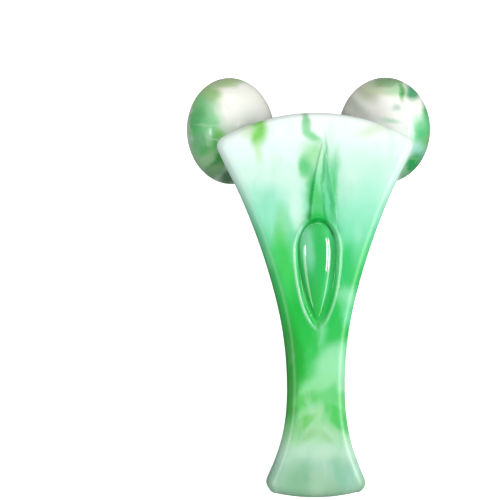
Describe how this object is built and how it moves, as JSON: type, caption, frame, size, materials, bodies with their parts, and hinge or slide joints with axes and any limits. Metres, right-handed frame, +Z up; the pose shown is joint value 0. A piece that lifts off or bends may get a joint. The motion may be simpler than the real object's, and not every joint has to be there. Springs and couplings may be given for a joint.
{
  "type": "face roller",
  "caption": "Hand-held face roller: a fan-shaped marbled handle with a teardrop inlay, and flattened rollers that spin freely on splayed axles behind its head.",
  "frame": {"origin": "on the floor under the middle of the roller's box, as it lies face up on its rollers and heel", "axes": "+Y from the foot to the head, +Z up, +X to the right as seen from above with the head away"},
  "size_m": [0.0946, 0.163, 0.0514],
  "materials": {
    "marbled_shell": "high gloss, swirled green and white",
    "drop": "high gloss, swirled deep green",
    "roller": "high gloss, swirled cream and green",
    "roller_cap": "high gloss, swirled cream and green",
    "plug": "gloss, pale green",
    "collar": "polished",
    "axle_steel": "ground",
    "washer": "turned",
    "screw_steel": "zinc plated",
    "bush": "natural acetal",
    "cast_yoke": "as cast"
  },
  "bodies": {
    "handle": {"front_shell": "marbled_shell", "back_shell": "marbled_shell", "drop_inlay": "drop", "axle_yoke": "cast_yoke", "yoke_screws": "screw_steel", "shell_screws": "screw_steel", "screw_plugs": "plug", "left_axle": "axle_steel", "left_neck_ring": "collar", "left_thrust_washer": "washer", "left_end_washer": "washer", "left_end_screw": "screw_steel", "right_axle": "axle_steel", "right_neck_ring": "collar", "right_thrust_washer": "washer", "right_end_washer": "washer", "right_end_screw": "screw_steel"},
    "left_roller": {"left_ball": "roller", "left_ball_cap": "roller_cap", "left_inner_bush": "bush", "left_outer_bush": "bush"},
    "right_roller": {"right_ball": "roller", "right_ball_cap": "roller_cap", "right_inner_bush": "bush", "right_outer_bush": "bush"}
  },
  "joints": [
    {"name": "left_roller_spin", "type": "hinge", "parent": "handle", "child": "left_roller", "pos_m": [-0.03, 0.06097, 0.01958], "axis": [-0.8651, 0.0932, -0.4928], "continuous": true},
    {"name": "right_roller_spin", "type": "hinge", "parent": "handle", "child": "right_roller", "pos_m": [0.03, 0.06097, 0.01958], "axis": [0.8651, 0.0932, -0.4928], "continuous": true}
  ]
}
